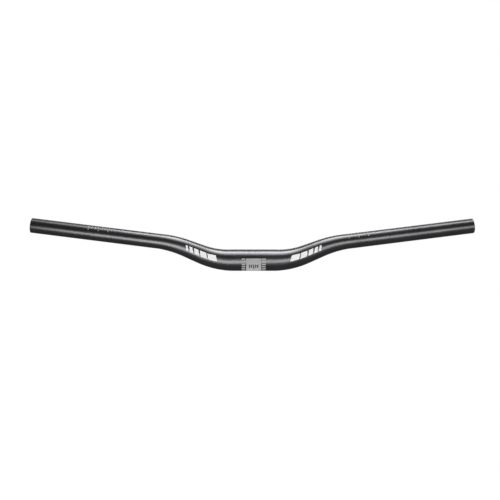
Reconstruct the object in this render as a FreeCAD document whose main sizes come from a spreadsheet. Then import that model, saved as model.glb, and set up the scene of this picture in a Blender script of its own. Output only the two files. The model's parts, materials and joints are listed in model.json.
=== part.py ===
import FreeCAD, Part
import Sketcher
import math
import os

# A riser handlebar: one seamless aluminium tube, widest where the stem clamps it, drawn down to grip
# size through two bends on each side, with a wall that thins along the way and both ends cut square.
# The origin is the centre of the clamp. +X runs along the clamp, +Y points back to the rider and
# +Z points up. The +X half is modelled and then mirrored.

# Driving dimensions, in millimetres and degrees
DIMENSIONS = [
    ("bar_width", 660.0, "between the centres of the two open ends"),
    ("clamp_diameter", 31.8, "outside, where the stem holds the bar"),
    ("clamp_length", 65.0, "straight middle of full diameter"),
    ("clamp_wall", 2.6, "wall of the middle"),
    ("grip_diameter", 22.2, "outside, where grips and levers go on"),
    ("grip_wall", 2.2, "wall of the grip ends"),
    ("lower_bend_radius", 115.0, "centre line of the bend beside the clamp"),
    ("rise_angle", 22.5, "slope of the riser above level"),
    ("riser_length", 24.0, "straight between the two bends"),
    ("upper_bend_radius", 122.0, "centre line of the bend beside the grip"),
    ("up_sweep", 5.0, "slope of the grip above level"),
    ("back_sweep", 9.0, "turn of the grip towards the rider"),
    ("rim_chamfer", 0.5, "deburring of the sawn ends, inside and outside"),
]
RIM_SHARE = 0.45  # the most of the wall that the chamfer of one edge may take

doc = FreeCAD.newDocument("riser_handlebar")
sheet = doc.addObject("Spreadsheet::Sheet", "Sizes")
for row, (name, value, note) in enumerate(DIMENSIONS, start=1):
    sheet.set(f"A{row}", name)
    sheet.set(f"B{row}", str(value))
    sheet.setAlias(f"B{row}", name)
    sheet.set(f"C{row}", note)
doc.recompute()

bar = doc.addObject("PartDesign::Body", "handlebar")
bar.Label = "handlebar"
bar.Placement = FreeCAD.Placement()

# Sketcher's numbers for the points of a curve and for the sketch's own origin and upright axis
START, END, CENTRE = 1, 2, 3
ORIGIN, UPRIGHT = -1, -2
ACROSS = FreeCAD.Vector(0, 0, 1)


def origin_plane(role):
    return next(feature for feature in bar.Origin.OriginFeatures if feature.Role == role)


def new_sketch(name, support, mode, along=0):
    """A sketch on a plane or, with mode NormalToEdge, across a path at a share of its edge."""
    sketch = bar.newObject("Sketcher::SketchObject", name)
    sketch.AttachmentSupport = [support]
    sketch.MapMode = mode
    sketch.MapPathParameter = along
    return sketch


def bind(sketch, name, size, kind, curve, drawn):
    """Adds a named constraint at its drawn value and ties it to an expression."""
    index = sketch.addConstraint(Sketcher.Constraint(kind, curve, drawn))
    sketch.renameConstraint(index, name)
    sketch.setExpression(f"Constraints.{name}", size)


def tube_section(name, support, mode, outside, wall, along=0):
    """A ring across the tube, with its outside diameter and its wall given as expressions."""
    sketch = new_sketch(name, support, mode, along)
    bore = f"{outside} - 2 * ({wall})"
    drawn_bore = sheet.clamp_diameter - 2 * sheet.clamp_wall
    for label, size, drawn in (("outside", outside, sheet.clamp_diameter), ("bore", bore, drawn_bore)):
        circle = sketch.addGeometry(Part.Circle(FreeCAD.Vector(), ACROSS, drawn / 2))
        sketch.addConstraint(Sketcher.Constraint("Coincident", circle, CENTRE, ORIGIN, START))
        bind(sketch, label, size, "Diameter", circle, drawn)
    return sketch


def bend_path(name, support, mode, radius, turn):
    """A centre line that leaves the sketch's origin along its X axis and bends towards its Y axis."""
    sketch = new_sketch(name, support, mode)
    drawn_radius = sheet.lower_bend_radius
    drawn_turn = math.radians(sheet.rise_angle)
    foot = math.radians(270)
    circle = Part.Circle(FreeCAD.Vector(0, drawn_radius, 0), ACROSS, drawn_radius)
    bend = sketch.addGeometry(Part.ArcOfCircle(circle, foot, foot + drawn_turn))
    sketch.addConstraint(Sketcher.Constraint("Coincident", bend, START, ORIGIN, START))
    sketch.addConstraint(Sketcher.Constraint("PointOnObject", bend, CENTRE, UPRIGHT))
    bind(sketch, "radius", radius, "Radius", bend, drawn_radius)
    bind(sketch, "turn", turn, "Angle", bend, drawn_turn)
    return sketch, bend


def tapered_tube(name, path, edges, start, end):
    """A length of tube along a path, drawn down evenly from one section to the next."""
    tube = bar.newObject("PartDesign::AdditivePipe", name)
    tube.Profile = (start, [""])
    tube.Spine = (path, edges)
    tube.Sections = [(end, [""])]
    tube.Transformation = "Multisection"
    return tube


# Clamp: plain tube of full diameter from the middle of the bar to the lower bend
clamp_section = tube_section(
    "clamp_section", (origin_plane("YZ_Plane"), ""), "FlatFace", "Sizes.clamp_diameter", "Sizes.clamp_wall"
)
clamp = bar.newObject("PartDesign::Pad", "clamp")
clamp.Profile = clamp_section
clamp.setExpression("Length", "Sizes.clamp_length / 2")

# Rise: the lower bend and the straight riser above it, in the upright plane of the clamp
riser_path, lower_bend = bend_path(
    "riser_path", (origin_plane("XZ_Plane"), ""), "FlatFace", "Sizes.lower_bend_radius", "Sizes.rise_angle"
)
riser_path.setExpression("AttachmentOffset.Base.x", "Sizes.clamp_length / 2")
slope = math.radians(sheet.rise_angle)
riser_foot = riser_path.getPoint(lower_bend, END)
riser_top = riser_foot + FreeCAD.Vector(math.cos(slope), math.sin(slope), 0) * sheet.riser_length
riser = riser_path.addGeometry(Part.LineSegment(riser_foot, riser_top))
riser_path.addConstraint(Sketcher.Constraint("Tangent", lower_bend, END, riser, START))
bind(riser_path, "straight", "Sizes.riser_length", "Distance", riser, sheet.riser_length)
doc.recompute()

# Knee: the upper bend brings the riser down to the up-sweep and back to the back-sweep in one turn,
# so it lies in a plane of its own, which holds the direction of the riser and that of the grip
KNEE_TURN = (
    "acos(cos(Sizes.rise_angle) * cos(Sizes.up_sweep) * cos(Sizes.back_sweep)"
    " + sin(Sizes.rise_angle) * sin(Sizes.up_sweep))"
)
KNEE_ROLL = (
    "atan2(-cos(Sizes.up_sweep) * sin(Sizes.back_sweep);"
    " cos(Sizes.rise_angle) * sin(Sizes.up_sweep)"
    " - sin(Sizes.rise_angle) * cos(Sizes.up_sweep) * cos(Sizes.back_sweep))"
)
RISER_TOP = "riser_path.Shape.Vertex3.Point"
knee_frame = bar.newObject("PartDesign::CoordinateSystem", "knee_frame")
knee_frame.setExpression("Placement", f"placement({RISER_TOP}; rotation(0; -Sizes.rise_angle; {KNEE_ROLL}))")
knee_path, upper_bend = bend_path(
    "knee_path", (knee_frame, ""), "ObjectXZ", "Sizes.upper_bend_radius", KNEE_TURN
)
doc.recompute()

# Sections of the taper, which is even along the centre line from the clamp to the grip
RISE_SHARE = "riser_path.Shape.Length / (riser_path.Shape.Length + knee_path.Shape.Length)"
KNEE_OUTSIDE = f"Sizes.clamp_diameter + (Sizes.grip_diameter - Sizes.clamp_diameter) * {RISE_SHARE}"
KNEE_WALL = f"Sizes.clamp_wall + (Sizes.grip_wall - Sizes.clamp_wall) * {RISE_SHARE}"
foot_section = tube_section(
    "foot_section", (riser_path, "Edge1"), "NormalToEdge", "Sizes.clamp_diameter", "Sizes.clamp_wall"
)
knee_section = tube_section(
    "knee_section", (riser_path, "Edge2"), "NormalToEdge", KNEE_OUTSIDE, KNEE_WALL, along=1
)
grip_section = tube_section(
    "grip_section", (knee_path, "Edge1"), "NormalToEdge", "Sizes.grip_diameter", "Sizes.grip_wall", along=1
)
doc.recompute()
tapered_tube("tapered_rise", riser_path, ["Edge1", "Edge2"], foot_section, knee_section)
tapered_tube("tapered_knee", knee_path, ["Edge1"], knee_section, grip_section)
doc.recompute()

# Grip: plain tube from the upper bend out to the end; its section faces back along the path
grip = bar.newObject("PartDesign::Pad", "grip")
grip.Profile = grip_section
grip.Reversed = True
grip.setExpression(
    "Length",
    "(Sizes.bar_width / 2 * 1 mm - grip_section.Placement.Base.x)"
    " / (cos(Sizes.up_sweep) * cos(Sizes.back_sweep))",
)
doc.recompute()

# Rims: both edges of the sawn end face are chamfered
end_face = max(range(len(grip.Shape.Faces)), key=lambda face: grip.Shape.Faces[face].CenterOfMass.x)
rims = bar.newObject("PartDesign::Chamfer", "rims")
rims.Base = (grip, [f"Face{end_face + 1}"])
rims.setExpression("Size", f"min(Sizes.rim_chamfer; Sizes.grip_wall * {RIM_SHARE})")
doc.recompute()

# The finished half and its mirror image make the one-piece bar
both_sides = bar.newObject("PartDesign::Mirrored", "both_sides")
both_sides.TransformMode = "Whole shape"
both_sides.MirrorPlane = (origin_plane("YZ_Plane"), [""])
bar.Tip = both_sides
doc.recompute()

# Nothing is written unless every feature is sound and the bar is one closed solid
for thing in doc.Objects:
    if "Invalid" in thing.State or "Error" in thing.State:
        raise RuntimeError(f"{thing.Name} failed: {thing.State}")
if bar.Shape.isNull() or not bar.Shape.isValid() or len(bar.Shape.Solids) != 1:
    raise RuntimeError("the bar is not one valid solid")

os.makedirs("parts", exist_ok=True)
bar.Shape.exportStep(f"parts/{bar.Label}.step")
print(f"{bar.Label}: {bar.Shape.Volume:.0f} mm3, grip {grip.Length.Value:.2f} mm straight")
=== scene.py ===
import json
import math

import bpy
from mathutils import Matrix, Vector
from mathutils.kdtree import KDTree


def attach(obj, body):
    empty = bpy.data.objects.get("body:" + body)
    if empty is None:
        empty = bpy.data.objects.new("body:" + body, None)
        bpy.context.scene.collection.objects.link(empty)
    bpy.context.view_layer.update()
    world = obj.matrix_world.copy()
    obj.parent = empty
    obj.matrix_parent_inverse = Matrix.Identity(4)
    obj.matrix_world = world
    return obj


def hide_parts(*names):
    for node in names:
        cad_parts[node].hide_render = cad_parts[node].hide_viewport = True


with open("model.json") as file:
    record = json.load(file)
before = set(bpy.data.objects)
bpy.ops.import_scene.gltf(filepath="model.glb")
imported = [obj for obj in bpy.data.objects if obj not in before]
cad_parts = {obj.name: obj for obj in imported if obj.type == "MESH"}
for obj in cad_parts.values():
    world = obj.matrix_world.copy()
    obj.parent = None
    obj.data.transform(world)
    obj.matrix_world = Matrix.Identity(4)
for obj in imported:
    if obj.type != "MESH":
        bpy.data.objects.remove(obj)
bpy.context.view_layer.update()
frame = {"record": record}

# Bar: one seamless aluminium tube, widest and thickest where the stem clamps it, drawn down towards the
# grips and bent up and then back on each side, bead-blasted and anodised black. Half of its skin is
# extruded and spun ring by ring along the centre line, mirrored, and given its wall and deburred ends.
MM = 0.001
mounts = {mount["name"]: mount for mount in frame["record"]["mounts"]}
stem_clamp, right_grip, end_bore = (mounts[name] for name in ("stem_clamp", "right_grip", "right_end_bore"))
clamp_radius = stem_clamp["dims"]["r_mm"] * MM
clamp_half = stem_clamp["dims"]["length_mm"] * MM / 2
clamp_wall = 2.6 * MM
grip_radius = right_grip["dims"]["r_mm"] * MM
grip_wall = grip_radius - end_bore["dims"]["r_mm"] * MM
grip_heading = Vector(right_grip["axis"]).normalized()
rim_rounding = 0.5 * MM
grip_reach = right_grip["dims"]["length_mm"] * MM / 2 + rim_rounding
grip_end = Vector(right_grip["pos_m"]) + grip_heading * grip_reach
rise_angle = math.radians(22.5)
lower_bend_radius = 115 * MM
riser_length = 24 * MM
upper_bend_radius = 122 * MM
riser_heading = Vector((math.cos(rise_angle), 0, math.sin(rise_angle)))
knee_turn = riser_heading.angle(grip_heading)
drawn_length = lower_bend_radius * rise_angle + riser_length + upper_bend_radius * knee_turn
AHEAD, BACK, UP = Vector((1, 0, 0)), Vector((0, 1, 0)), Vector((0, 0, 1))
SIDES_OF_RING = 96
RINGS_OF_BEND = 24
RINGS_OF_RISER = 6
RIM_STEPS = 3
SMOOTH_UP_TO = math.radians(40)
HAIR = MM / 100
NOISE_MIDDLE = (0.3, 0.7)


def drawn_share(along):
    """How far the tube is drawn down, from 0 at the clamp to 1 at the grip."""
    return min(max((along - clamp_half) / drawn_length, 0), 1)


def tube_radius(along):
    return clamp_radius + (grip_radius - clamp_radius) * drawn_share(along)


def weigh_ring(along):
    """Marks the selected ring with its wall, as a share of the clamp's."""
    wall_share = 1 + (grip_wall / clamp_wall - 1) * drawn_share(along)
    bpy.context.scene.tool_settings.vertex_group_weight = wall_share
    bpy.ops.object.vertex_group_assign()


def fit_ring(along, centre, turn):
    """Draws the newest ring down to the tube's radius there and notes its place."""
    share = tube_radius(along) / tube_radius(rings[-1][0])
    bpy.ops.transform.resize(value=(share, share, share), center_override=centre)
    weigh_ring(along)
    rings.append((along, centre, turn))


def extrude_straight(length, steps=1):
    """Carries the open end of the tube straight on."""
    for _ in range(steps):
        along, centre, turn = rings[-1]
        step = turn @ AHEAD * (length / steps)
        bpy.ops.mesh.extrude_edges_move(TRANSFORM_OT_translate={"value": step})
        fit_ring(along + length / steps, centre + step, turn)


def spin_bend(radius, axis, angle):
    """Carries the open end of the tube round a bend; the spin operator turns against its axis."""
    along, centre, turn = rings[-1]
    hub = centre + axis.cross(turn @ AHEAD) * radius
    step = angle / RINGS_OF_BEND
    one_step = Matrix.Rotation(step, 3, axis)
    for _ in range(RINGS_OF_BEND):
        along, centre, turn = rings[-1]
        bpy.ops.mesh.spin(steps=1, angle=-step, center=hub, axis=axis)
        fit_ring(along + radius * step, hub + one_step @ (centre - hub), one_step @ turn)


bpy.ops.object.select_all(action="DESELECT")
bpy.ops.mesh.primitive_circle_add(vertices=SIDES_OF_RING, radius=clamp_radius, rotation=(0, math.pi / 2, 0))
bar = bpy.context.object
bar.name = bar.data.name = "anodised_tube"
bpy.ops.object.transform_apply(location=True, rotation=True, scale=True)
bar.vertex_groups.new(name="wall")
rings = [(0.0, Vector(), Matrix.Identity(3))]
bpy.ops.object.mode_set(mode="EDIT")
weigh_ring(0)
extrude_straight(clamp_half)
spin_bend(lower_bend_radius, -BACK, rise_angle)
extrude_straight(riser_length, RINGS_OF_RISER)
spin_bend(upper_bend_radius, riser_heading.cross(grip_heading).normalized(), knee_turn)
extrude_straight((grip_end - rings[-1][1]).dot(grip_heading))
bpy.ops.object.mode_set(mode="OBJECT")

other_half = bar.modifiers.new("other_half", "MIRROR")
other_half.merge_threshold = HAIR
bpy.ops.object.modifier_apply(modifier=other_half.name)
bpy.ops.object.mode_set(mode="EDIT")
bpy.ops.mesh.select_all(action="SELECT")
bpy.ops.mesh.remove_doubles(threshold=HAIR)
bpy.ops.mesh.normals_make_consistent(inside=False)
bpy.ops.object.mode_set(mode="OBJECT")

# a copy of the bare skin is kept, from which the prints are cut
bpy.ops.object.duplicate()
stencil = bpy.context.object
stencil.name = "print_stencil"
stencil.vertex_groups.clear()


def pick(*pieces):
    """Selects pieces alone and makes the first of them active."""
    bpy.ops.object.select_all(action="DESELECT")
    for piece in pieces:
        piece.select_set(True)
    bpy.context.view_layer.objects.active = pieces[0]


def new_finish(name):
    """A material and its shader."""
    finish = bpy.data.materials.new(name)
    finish.use_nodes = True
    return finish, finish.node_tree.nodes["Principled BSDF"]


def scale_place(place, scale):
    """A place with each of its axes stretched, or left out where the scale is 0."""
    tree = place.id_data
    mapping = tree.nodes.new("ShaderNodeMapping")
    mapping.inputs["Scale"].default_value = scale
    tree.links.new(place, mapping.inputs["Vector"])
    return mapping.outputs["Vector"]


def distance_of(place):
    """How far a place lies from the origin."""
    tree = place.id_data
    length = tree.nodes.new("ShaderNodeVectorMath")
    length.operation = "LENGTH"
    tree.links.new(place, length.inputs["Vector"])
    return length.outputs["Value"]


def add_noise(place, grains, detail):
    """Noise with a number of grains a metre along each axis."""
    tree = place.id_data
    noise = tree.nodes.new("ShaderNodeTexNoise")
    noise.inputs["Scale"].default_value = 1
    noise.inputs["Detail"].default_value = detail
    tree.links.new(scale_place(place, grains), noise.inputs["Vector"])
    return noise.outputs["Fac"]


def spread(value, start, end, low=0, high=1, course="LINEAR"):
    """A value that runs from a start to an end, as one that runs from low to high."""
    tree = value.id_data
    run = tree.nodes.new("ShaderNodeMapRange")
    run.interpolation_type = course
    run.inputs["From Min"].default_value = start
    run.inputs["From Max"].default_value = end
    run.inputs["To Min"].default_value = low
    run.inputs["To Max"].default_value = high
    tree.links.new(value, run.inputs["Value"])
    return run.outputs["Result"]


def colour_by(shader, noise, dark, light):
    """Lets the colour wander between two shades."""
    tree = shader.id_data
    tint = tree.nodes.new("ShaderNodeMix")
    tint.data_type = "RGBA"
    tint.inputs["A"].default_value = (*dark, 1)
    tint.inputs["B"].default_value = (*light, 1)
    tree.links.new(spread(noise, *NOISE_MIDDLE), tint.inputs["Factor"])
    tree.links.new(tint.outputs["Result"], shader.inputs["Base Color"])


def roughen_by(shader, noise, low, high):
    """Lets the roughness wander between two limits."""
    shader.id_data.links.new(spread(noise, *NOISE_MIDDLE, low, high), shader.inputs["Roughness"])


def raise_by(shader, noise, depth):
    """Raises the surface by a noise, over whatever raises it already."""
    tree = shader.id_data
    bump = tree.nodes.new("ShaderNodeBump")
    bump.inputs["Distance"].default_value = depth
    tree.links.new(noise, bump.inputs["Height"])
    for below in shader.inputs["Normal"].links:
        tree.links.new(below.from_socket, bump.inputs["Normal"])
    tree.links.new(bump.outputs["Normal"], shader.inputs["Normal"])


def new_anodising(name):
    """The shader of black anodised metal, which stays dark at glancing angles, and the place that it
    reads on the unbent tube."""
    finish, shader = new_finish(name)
    shader.inputs["Metallic"].default_value = 1
    shader.inputs["Specular Tint"].default_value = (0.5, 0.5, 0.5, 1)
    unbent = finish.node_tree.nodes.new("ShaderNodeAttribute")
    unbent.attribute_name = "unbent"
    bar.data.materials.append(finish)
    return shader, unbent.outputs["Vector"]


# outside: fine blasting over the lines that drawing left along the tube, and dye that clouds a little
shader, unbent_place = new_anodising("black_anodised")
drawing = add_noise(unbent_place, (25, 1500, 1500), 3)
blasting = add_noise(unbent_place, (5000, 5000, 5000), 2)
dye = add_noise(unbent_place, (30, 60, 60), 3)
colour_by(shader, dye, (0.0185, 0.0182, 0.0190), (0.0225, 0.0221, 0.0230))
roughen_by(shader, drawing, 0.29, 0.34)
raise_by(shader, blasting, 0.0012 * MM)
raise_by(shader, drawing, 0.0006 * MM)

# bore: not blasted, so it is duller and its drawing lines are plainer
shader, unbent_place = new_anodising("black_anodised_bore")
drawing = add_noise(unbent_place, (15, 2500, 2500), 4)
colour_by(shader, drawing, (0.010, 0.010, 0.010), (0.018, 0.018, 0.018))
roughen_by(shader, drawing, 0.4, 0.55)
raise_by(shader, drawing, 0.006 * MM)

# sawn ends: faced on a lathe, with fine rings round the tube's axis
shader, unbent_place = new_anodising("black_anodised_end")
from_axis = distance_of(scale_place(unbent_place, (0, 1, 1)))
facing_rings = add_noise(from_axis, (4500, 4500, 4500), 2)
colour_by(shader, facing_rings, (0.014, 0.014, 0.014), (0.032, 0.032, 0.033))
roughen_by(shader, facing_rings, 0.25, 0.4)
raise_by(shader, facing_rings, 0.01 * MM)

pick(bar)
tube_wall = bar.modifiers.new("tube_wall", "SOLIDIFY")
tube_wall.thickness = clamp_wall
tube_wall.offset = -1
tube_wall.vertex_group = "wall"
tube_wall.material_offset = bar.data.materials.find("black_anodised_bore")
tube_wall.material_offset_rim = bar.data.materials.find("black_anodised_end")
bpy.ops.object.modifier_apply(modifier=tube_wall.name)


def from_end(point):
    """Where a point lies from the centre of the end face on its side."""
    return Vector((abs(point.x), point.y, point.z)) - grip_end


# the two edges of each sawn end lie in its end face, and each keeps one distance from the centre
bpy.ops.object.mode_set(mode="EDIT")
bpy.ops.mesh.select_all(action="DESELECT")
bpy.ops.mesh.select_mode(type="EDGE")
bpy.ops.object.mode_set(mode="OBJECT")
for edge in bar.data.edges:
    start, end = (from_end(bar.data.vertices[index].co) for index in edge.vertices)
    in_end_face = max(abs(start.dot(grip_heading)), abs(end.dot(grip_heading))) < HAIR
    edge.select = in_end_face and abs(start.length - end.length) < HAIR
bpy.ops.object.mode_set(mode="EDIT")
bpy.ops.mesh.bevel(offset=rim_rounding, segments=RIM_STEPS, profile=0.5, affect="EDGES")
bpy.ops.mesh.select_mode(type="VERT")
bpy.ops.object.mode_set(mode="OBJECT")
bpy.ops.object.shade_smooth_by_angle(angle=SMOOTH_UP_TO)

# each point's place on the tube as if it were unbent, so that the lines of drawing follow the bends
ring_finder = KDTree(len(rings))
for index, (along, centre, turn) in enumerate(rings):
    ring_finder.insert(centre, index)
ring_finder.balance()
unbent_places = []
for vertex in bar.data.vertices:
    side = math.copysign(1, vertex.co.x)
    point = Vector((abs(vertex.co.x), vertex.co.y, vertex.co.z))
    along, centre, turn = rings[ring_finder.find(point)[1]]
    offset = turn.transposed() @ (point - centre)
    unbent_places.extend((side * (along + offset.x), offset.y, offset.z))
unbent = bar.data.attributes.new("unbent", "FLOAT_VECTOR", "POINT")
unbent.data.foreach_set("vector", unbent_places)

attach(bar, "root")
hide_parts("handlebar")

# Riser stripes: five slanted bars of white ink, screen-printed on the front of each bend beside the
# clamp, each narrower than the one before it on the way out. Each print is cut from the tube's skin.
INK_THICKNESS = 0.03 * MM
STRIPE_WIDTHS = [13 * MM, 10 * MM, 7 * MM, 5 * MM, 3.2 * MM]
stripe_gap = 2.4 * MM
stripe_start = 56 * MM
stripe_slant = math.radians(28)
stripe_low, stripe_high = math.radians(0), math.radians(32)


def axes_at(along):
    """The tube's centre and its own directions at a length along the bar, which is negative on the left."""
    for (start, centre, turn), (end, next_centre, next_turn) in zip(rings, rings[1:]):
        if abs(along) <= end:
            break
    share = (abs(along) - start) / (end - start)
    place = centre.lerp(next_centre, share)
    ahead, back, up = (turn.lerp(next_turn, share) @ axis for axis in (AHEAD, BACK, UP))
    if along < 0:
        place, ahead, back, up = (Vector((-v.x, v.y, v.z)) for v in (place, -ahead, back, up))
    return place, ahead, back, up


def patch_sides(start, end, low, high, slant=0):
    """The four planes round a patch of the skin, each as a point on it and its outward direction. The patch
    lies between two lengths along the bar and two angles round it, counted upwards from its front, and the
    slant leans both its ends."""
    place, ahead, back, up = axes_at((start + end) / 2)

    def growing(angle):
        return back * math.sin(angle) + up * math.cos(angle)

    leaning = ahead * math.cos(slant) - growing((low + high) / 2) * math.sin(slant)
    half = ahead * (end - start) / 2
    return (place + half, leaning), (place - half, -leaning), (place, growing(high)), (place, -growing(low))


def cut_along(sides, clear):
    """Cuts the mesh that is being edited along planes, and clears what lies outside them if asked to."""
    for point, outside in sides:
        bpy.ops.mesh.select_all(action="SELECT")
        bpy.ops.mesh.bisect(plane_co=point, plane_no=outside, clear_outer=clear, threshold=HAIR / 10)


def cut_patch(start, end, low, high, slant=0):
    """A patch of the skin, cut from a copy of the stencil."""
    pick(stencil)
    bpy.ops.object.duplicate()
    bpy.ops.object.mode_set(mode="EDIT")
    cut_along(patch_sides(start, end, low, high, slant), clear=True)
    bpy.ops.object.mode_set(mode="OBJECT")
    return bpy.context.object


def finish_print(name, patches, ink):
    """Joins the patches of a print, gives the ink its thickness and fixes it to the bar."""
    pick(*patches)
    bpy.ops.object.join()
    print_layer = bpy.context.object
    print_layer.name = print_layer.data.name = name
    thickness = print_layer.modifiers.new("ink_thickness", "SOLIDIFY")
    thickness.thickness = INK_THICKNESS
    thickness.offset = 1
    bpy.ops.object.modifier_apply(modifier=thickness.name)
    bpy.ops.object.shade_smooth_by_angle(angle=SMOOTH_UP_TO)
    print_layer.data.materials.append(ink)
    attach(print_layer, "root")
    return print_layer


def new_ink(name, dark, light):
    """Matt ink with an uneven coat and the fine grain of the screen."""
    ink, shader = new_finish(name)
    shader.inputs["Specular IOR Level"].default_value = 0.15
    place = ink.node_tree.nodes.new("ShaderNodeTexCoord").outputs["Object"]
    coat = add_noise(place, (600, 600, 600), 3)
    screen = add_noise(place, (4000, 4000, 4000), 2)
    colour_by(shader, coat, dark, light)
    roughen_by(shader, screen, 0.5, 0.62)
    raise_by(shader, screen, 0.002 * MM)
    return ink


stripes = []
along = stripe_start
for width in STRIPE_WIDTHS:
    stripes.append(cut_patch(along, along + width, stripe_low, stripe_high, stripe_slant))
    stripes.append(cut_patch(-along - width, -along, stripe_low, stripe_high, -stripe_slant))
    along += width + stripe_gap
white_ink = new_ink("white_ink", (0.77, 0.77, 0.78), (0.83, 0.83, 0.83))
riser_stripes = finish_print("riser_stripes", stripes, white_ink)

# Clamp scale: silver-grey ink, screen-printed on the front and underside of the clamp, by which the bar is
# centred and turned in the stem. A panel in the middle has a short ruler of bare slots, with the middle one
# longer, and a ladder of short lines stands on each side of it.
panel_half = 11.2 * MM
SLOTS = 5
slot_width = 1.6 * MM
slot_pitch = 3 * MM
slot_low, long_slot_low, slot_high = math.radians(-30), math.radians(-40), math.radians(-10)
ladder_start, ladder_end = 12.4 * MM, 17.6 * MM
scale_low, scale_high = math.radians(-82), math.radians(23)
LADDER_LINES = 8
LINE_SHARE = 0.55
ladder_pitch = (scale_high - scale_low) / (LADDER_LINES - 1 + LINE_SHARE)


def open_slot(patch, start, end, low, high):
    """Opens a slot in a patch of ink, through which the metal shows."""
    sides = patch_sides(start, end, low, high)
    pick(patch)
    bpy.ops.object.mode_set(mode="EDIT")
    cut_along(sides, clear=False)
    bpy.ops.mesh.select_mode(type="FACE")
    bpy.ops.mesh.select_all(action="DESELECT")
    bpy.ops.object.mode_set(mode="OBJECT")
    for face in patch.data.polygons:
        face.select = all((face.center - point).dot(outside) < 0 for point, outside in sides)
    bpy.ops.object.mode_set(mode="EDIT")
    bpy.ops.mesh.delete(type="FACE")
    bpy.ops.mesh.select_mode(type="VERT")
    bpy.ops.object.mode_set(mode="OBJECT")


panel = cut_patch(-panel_half, panel_half, scale_low, scale_high)
for number in range(SLOTS):
    from_middle = number - SLOTS // 2
    slot_start = from_middle * slot_pitch - slot_width / 2
    low = slot_low if from_middle else long_slot_low
    open_slot(panel, slot_start, slot_start + slot_width, low, slot_high)
patches = [panel]
for line in range(LADDER_LINES):
    low = scale_low + line * ladder_pitch
    high = low + ladder_pitch * LINE_SHARE
    patches.append(cut_patch(ladder_start, ladder_end, low, high))
    patches.append(cut_patch(-ladder_end, -ladder_start, low, high))
grey_ink = new_ink("silver_grey_ink", (0.34, 0.34, 0.345), (0.38, 0.38, 0.38))
clamp_scale = finish_print("clamp_scale", patches, grey_ink)

# Grip marks: a row of lines in the same grey ink across the upper front of each grip, just outside the bend
# on the right and further out on the left, by which clamps are lined up. Every third line is longer.
MARKS = 7
LONG_EVERY = 3
mark_width = 0.8 * MM
mark_pitch = 5 * MM
right_mark_start, left_mark_start = 144 * MM, -250 * MM
mark_low, long_mark_low, mark_high = math.radians(46), math.radians(33), math.radians(80)
marks = []
for mark in range(MARKS):
    low = mark_low if mark % LONG_EVERY else long_mark_low
    for row_start in (right_mark_start, left_mark_start):
        start = row_start + mark * mark_pitch
        marks.append(cut_patch(start, start + mark_width, low, mark_high))
grip_marks = finish_print("grip_marks", marks, grey_ink)

bpy.data.objects.remove(stencil)

# Floor: a pale sheet well below the bar, which hangs free here as it would in its stem. It takes the
# bar's soft shadow and fades to plain white all round.
floor_drop = 0.5
floor_half = 6.0
FLOOR_GLOW = 0.37
shadow_reach, fade_reach = 0.12, 0.5
FADE_OVAL = (0.5, 1, 0)


def combine(operation, one, other):
    """What the Math node makes of two values."""
    tree = one.id_data
    both = tree.nodes.new("ShaderNodeMath")
    both.operation = operation
    tree.links.new(one, both.inputs[0])
    tree.links.new(other, both.inputs[1])
    return both.outputs["Value"]


bpy.ops.object.select_all(action="DESELECT")
bpy.ops.mesh.primitive_plane_add(size=2 * floor_half)
floor = bpy.context.object
floor.name = "pale_floor"
bpy.ops.object.mode_set(mode="EDIT")
bpy.ops.transform.translate(value=-UP * floor_drop)
bpy.ops.object.mode_set(mode="OBJECT")
pale, shader = new_finish("pale_floor")
tree = pale.node_tree
ray = tree.nodes.new("ShaderNodeLightPath").outputs
seen = combine("MAXIMUM", ray["Is Camera Ray"], ray["Is Glossy Ray"])
shader.inputs["Base Color"].default_value = (0.8, 0.8, 0.8, 1)
shader.inputs["Roughness"].default_value = 1
shader.inputs["Specular IOR Level"].default_value = 0
shader.inputs["Emission Color"].default_value = (1, 1, 1, 1)
tree.links.new(spread(seen, 0, 1, high=FLOOR_GLOW), shader.inputs["Emission Strength"])
place = tree.nodes.new("ShaderNodeTexCoord").outputs["Object"]
from_bar = distance_of(scale_place(place, FADE_OVAL))
fade = spread(from_bar, shadow_reach, fade_reach, course="SMOOTHSTEP")
plain_white = tree.nodes.new("ShaderNodeEmission")
faded = tree.nodes.new("ShaderNodeMixShader")
tree.links.new(combine("MULTIPLY", seen, fade), faded.inputs["Fac"])
tree.links.new(shader.outputs["BSDF"], faded.inputs[1])
tree.links.new(plain_white.outputs["Emission"], faded.inputs[2])
tree.links.new(faded.outputs["Shader"], tree.nodes["Material Output"].inputs["Surface"])
floor.data.materials.append(pale)

# Light: softboxes over the bar, strips low in front of it and one behind, as in a studio for black metal.
# Each is a lamp for the metal paired with a milder one for the ink and the floor. The room round them is
# plain white to the camera and a dim grey to the metal.
bpy.context.scene.view_settings.view_transform = "Standard"
softbox_distance = 1.25
lamp_gap = 0.005
ROOM_FILL = 0.12
ROOM_IN_GLOSS = 0.45

metal = bpy.data.collections.new("metal")
metal.objects.link(bar)
ink_and_floor = bpy.data.collections.new("ink_and_floor")
for matt_piece in (riser_stripes, clamp_scale, grip_marks, floor):
    ink_and_floor.objects.link(matt_piece)
lamps = []


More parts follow.
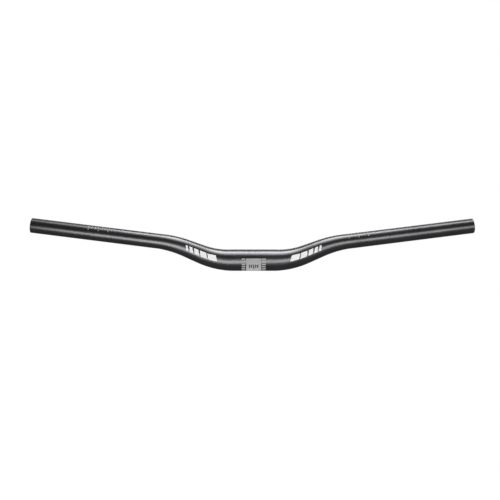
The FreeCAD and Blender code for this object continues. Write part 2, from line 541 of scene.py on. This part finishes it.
def add_softbox(name, left, right, elevation, arc, glint, light):
    """A softbox from one side to the other, which the camera doesn't see, at an elevation in degrees above
    the bar's front, where it takes up an arc. It is a pair of lamps: the glint is what metal shows of it,
    and the light is what ink and the floor take from it. Each lamp stands a little behind the one before
    it, because lamps in one plane hide each other from the metal."""
    width = right - left
    heading = Matrix.Rotation(-math.radians(elevation), 3, "X") @ -BACK
    facing = (-heading).to_track_quat("-Z", "Y").to_euler()
    for part, radiance, receivers in (("glint", glint, metal), ("light", light, ink_and_floor)):
        distance = softbox_distance + lamp_gap * len(lamps)
        depth = 2 * distance * math.tan(math.radians(arc / 2))
        place = AHEAD * (left + right) / 2 + heading * distance
        bpy.ops.object.light_add(type="AREA", location=place, rotation=facing)
        lamp = bpy.context.object
        lamp.name = lamp.data.name = f"{name}_{part}"
        lamp.data.shape = "RECTANGLE"
        lamp.data.size = width
        lamp.data.size_y = depth
        lamp.data.energy = radiance * math.pi * width * depth
        lamp.visible_camera = False
        lamp.light_linking.receiver_collection = receivers
        lamps.append(lamp)


add_softbox("overhead_softbox", left=-0.30, right=0.40, elevation=97, arc=40, glint=21, light=3)
add_softbox("overhead_strip", left=-0.50, right=0.88, elevation=107, arc=13, glint=29, light=3)
add_softbox("overhead_ends", left=-0.78, right=1.20, elevation=107, arc=26, glint=11, light=3)
add_softbox("left_front_strip", left=-1.28, right=0.03, elevation=-8, arc=31, glint=25, light=3.2)
add_softbox("right_front_strip", left=0.03, right=1.75, elevation=5, arc=29, glint=18.5, light=3.2)
add_softbox("rear_strip", left=-1.20, right=1.20, elevation=162, arc=14, glint=7, light=3)

room = bpy.data.worlds.new("white_room")
bpy.context.scene.world = room
room.use_nodes = True
tree = room.node_tree
backdrop = tree.nodes["Background"]
backdrop.inputs["Color"].default_value = (1, 1, 1, 1)
ray = tree.nodes.new("ShaderNodeLightPath").outputs
on_pieces = spread(ray["Is Glossy Ray"], 0, 1, low=ROOM_FILL, high=ROOM_IN_GLOSS)
tree.links.new(combine("MAXIMUM", ray["Is Camera Ray"], on_pieces), backdrop.inputs["Strength"])

# Camera: a still camera with a long lens, on a stand in front of the bar, a little above it and a little to
# the left. It is rolled by a fraction of a degree, as the one that took the photograph was.
camera_distance = 2.0
camera_height_angle = math.radians(14.49)
camera_side_angle = math.radians(1.659)
camera_roll = math.radians(0.398)
aim_right, aim_up = -5.25 * MM, 14.99 * MM
focal_length_mm = 97.285
level = math.cos(camera_height_angle)
camera_place = camera_distance * Vector((
    -math.sin(camera_side_angle) * level, -math.cos(camera_side_angle) * level, math.sin(camera_height_angle)
))
sight = -camera_place.normalized()
right = sight.cross(UP).normalized()
aim = right * aim_right + right.cross(sight) * aim_up
sight = (aim - camera_place).normalized()
right = sight.cross(UP).normalized()
level_turn = Matrix((right, right.cross(sight), -sight)).transposed()
bpy.ops.object.camera_add(location=camera_place)
camera = bpy.context.object
camera.rotation_euler = (level_turn @ Matrix.Rotation(camera_roll, 3, "Z")).to_euler()
camera.data.lens = focal_length_mm
bpy.context.scene.camera = camera
